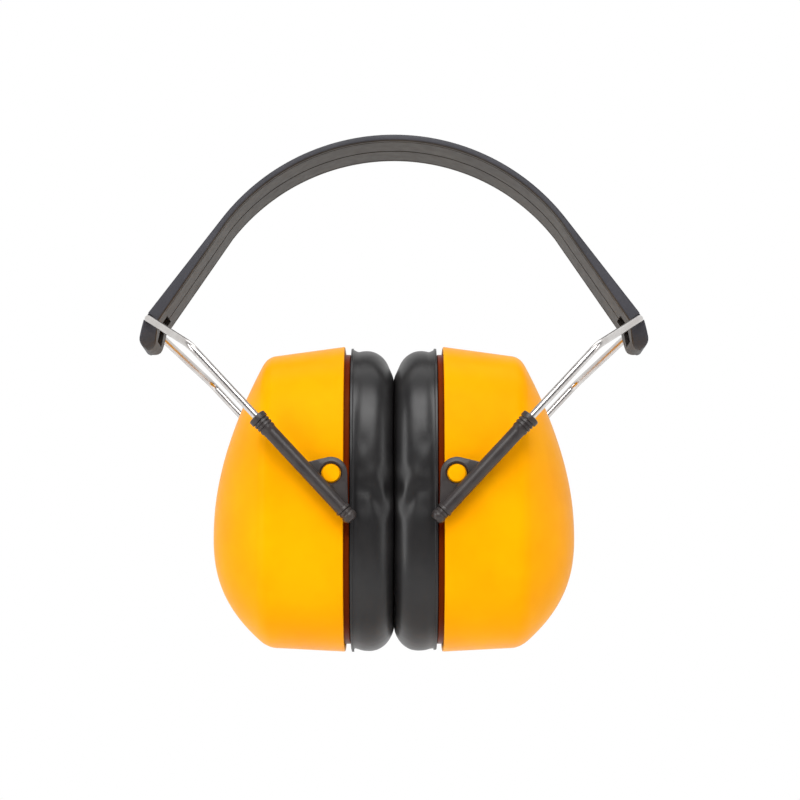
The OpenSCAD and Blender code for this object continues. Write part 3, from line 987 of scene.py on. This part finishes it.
def add_lip(made, side):
    """The flat welded lip that stands out from the skin's outer back edge."""
    bm = bmesh.new()
    bm.from_mesh(made.data)
    bm.verts.ensure_lookup_table()
    n = AROUND // 2
    seed = Vector((5.3 * SIDES[side], 1.9, 4.2))
    rows = [bm.verts[0:n]]
    for inset, x in LIP:
        row = []
        for a, (px, y, z) in zip(TURNS[::2], outline_ring(inset, x, TURNS[::2])):
            wavy = noise.noise(Vector((0, y * 0.12, z * 0.12)) + seed)
            tab = 0.6 * math.exp(-((math.sin(a) - SIDES[side]) / 0.012) ** 2)
            out = smoothstep(COVER_INSET - inset, 0, 0.45) * (min(0.4 * wavy, 0.2) + tab)
            away = Vector((0, y, z - HALF_H)).normalized() * out
            row.append(bm.verts.new(((px - 0.2 * abs(out)) * MM, (y + away.y) * MM,
                                     (z + away.z) * MM)))
        rows.append(row)
    for a, b in zip(rows, rows[1:]):
        for i in range(n):
            j = (i + 1) % n
            bm.faces.new((a[i], a[j], b[j], b[i]))
    bmesh.ops.recalc_face_normals(bm, faces=bm.faces)
    centre = Vector((BACK_X * MM, 0, HALF_H * MM))
    face = max(bm.faces, key=lambda f: abs(f.calc_center_median().y))
    outward = face.calc_center_median() - centre
    if face.normal.dot(Vector((0, outward.y, outward.z))) < 0:
        bmesh.ops.reverse_faces(bm, faces=bm.faces)
    bm.to_mesh(made.data)
    bm.free()


def cushion_foam(side):
    """The foam ring inside the skin, a little smaller than it."""
    loops = []
    for k, (i, x) in enumerate(cushion_line(FOAM_GAP)):
        loops.append([(x + 0.2 * noise.noise(Vector((y * 0.2, z * 0.2, k))), y, z)
                      for x, y, z in outline_ring(i, x, TURNS[::2])])
    made = new_object(f"{side}_cushion_foam_ring", rings(loops, closed=True), (SIDES[side], 1))
    return finished(made, "cushion_foam", f"{side}_cup", f"{side}_cushion_foam")


# ---- the object ----------------------------------------------------------------------

headband()
for side in SIDES:
    wire_yoke(side)
    for end in ENDS:
        slider(side, end)
        end_cap(side, end)
    cup_shell(side)
    seat_ring(side)
    foam_liner(side)
    cushion_plate(side)
    cushion_foam(side)
    cushion_cover(side)


# ---- studio --------------------------------------------------------------------------

def lamp(name, place, aim, size, power):
    """A soft white rectangular light, with its place and size in metres, and power in W."""
    data = bpy.data.lights.new(name, "AREA")
    data.shape = "RECTANGLE"
    data.size, data.size_y = size
    data.energy = power
    made = bpy.data.objects.new(name, data)
    made.location = place
    made.rotation_mode = "QUATERNION"
    made.rotation_quaternion = (Vector(aim) - Vector(place)).to_track_quat("-Z", "Y")
    bpy.context.scene.collection.objects.link(made)


def studio_floor():
    """A plain pale round floor, which fades into the white round it."""
    steps, reach = 96, 0.62
    turns = [2 * math.pi * i / steps for i in range(steps)]
    rows = [[(q * math.cos(a), q * math.sin(a), FLOOR_Z) for a in turns]
            for q in np.linspace(0.02, reach, 24)]
    points, faces = rings(rows, capped=False)
    mesh = bpy.data.meshes.new("studio_floor")
    mesh.from_pydata(points, [], faces + [tuple(range(steps))])
    floor = bpy.data.objects.new("studio_floor", mesh)
    bpy.context.scene.collection.objects.link(floor)
    f = Finish("studio_floor", (0.93, 0.93, 0.93), 0.8, Specular_IOR_Level=0.1)
    f.colour(f.ramp(f.noise(180), [(0.3, (0.92, 0.92, 0.92)), (0.7, (0.94, 0.94, 0.94))]))
    far = f.tree.nodes.new("ShaderNodeVectorMath")
    far.operation = "LENGTH"
    f.link(f.place, far.inputs[0])
    f.link(f.span(far.outputs["Value"], 1, 0, 0.24, 0.58), f.shader.inputs["Alpha"])
    mesh.materials.append(f.material)


def studio_world():
    """White to the eye; as a light it is white behind, grey beside and dark in front."""
    world = bpy.data.worlds.new("studio")
    world.use_nodes = True
    tree = world.node_tree
    tree.nodes.clear()
    nodes, links = tree.nodes, tree.links
    out = nodes.new("ShaderNodeOutputWorld")
    mix = nodes.new("ShaderNodeMixShader")
    seen = nodes.new("ShaderNodeBackground")
    light = nodes.new("ShaderNodeBackground")
    path = nodes.new("ShaderNodeLightPath")
    place = nodes.new("ShaderNodeTexCoord")
    split = nodes.new("ShaderNodeSeparateXYZ")
    ramp = nodes.new("ShaderNodeValToRGB")
    span = nodes.new("ShaderNodeMapRange")
    span.inputs["From Min"].default_value = -1
    links.new(place.outputs["Generated"], split.inputs["Vector"])
    links.new(split.outputs["Y"], span.inputs["Value"])
    links.new(span.outputs["Result"], ramp.inputs["Fac"])
    ramp.color_ramp.elements[0].position = 0.30
    ramp.color_ramp.elements[0].color = (0.14, 0.14, 0.15, 1)
    ramp.color_ramp.elements[1].position = 0.62
    ramp.color_ramp.elements[1].color = (1.0, 1.0, 1.0, 1)
    links.new(ramp.outputs["Color"], light.inputs["Color"])
    seen.inputs["Strength"].default_value = 1.0
    seen.inputs["Color"].default_value = (1, 1, 1, 1)
    light.inputs["Strength"].default_value = 0.9
    links.new(path.outputs["Is Camera Ray"], mix.inputs["Fac"])
    links.new(light.outputs["Background"], mix.inputs[1])
    links.new(seen.outputs["Background"], mix.inputs[2])
    links.new(mix.outputs["Shader"], out.inputs["Surface"])
    bpy.context.scene.world = world


LENS = 100.8                     # in mm, on the usual 36 mm sensor
CAMERA_PLACE = Vector((0, -0.779, -0.019))
CAMERA_AIM = Vector((0, 0, 0.0877))


def camera():
    """The photograph's view: from just below the cups' lowest point, looking a little up."""
    data = bpy.data.cameras.new("photo_view")
    data.lens = LENS
    data.sensor_width = 36
    data.shift_x = 0.0076
    data.dof.use_dof = False
    made = bpy.data.objects.new("photo_view", data)
    made.location = CAMERA_PLACE
    made.rotation_mode = "QUATERNION"
    made.rotation_quaternion = (CAMERA_AIM - made.location).to_track_quat("-Z", "Y")
    bpy.context.scene.collection.objects.link(made)
    bpy.context.scene.camera = made


camera()
studio_world()
studio_floor()
lamp("key_high", (0, -0.72, 0.62), (0, 0, 0.08), (0.7, 0.6), 8)
lamp("strip_left", (-0.75, -0.45, 0.15), (0, 0, 0.07), (0.12, 0.7), 3)
lamp("strip_right", (0.75, -0.45, 0.15), (0, 0, 0.07), (0.12, 0.7), 1.5)
lamp("top", (0, 0.05, 0.9), (0, 0, 0.08), (0.7, 0.5), 2)
bpy.context.scene.view_settings.view_transform = "Standard"
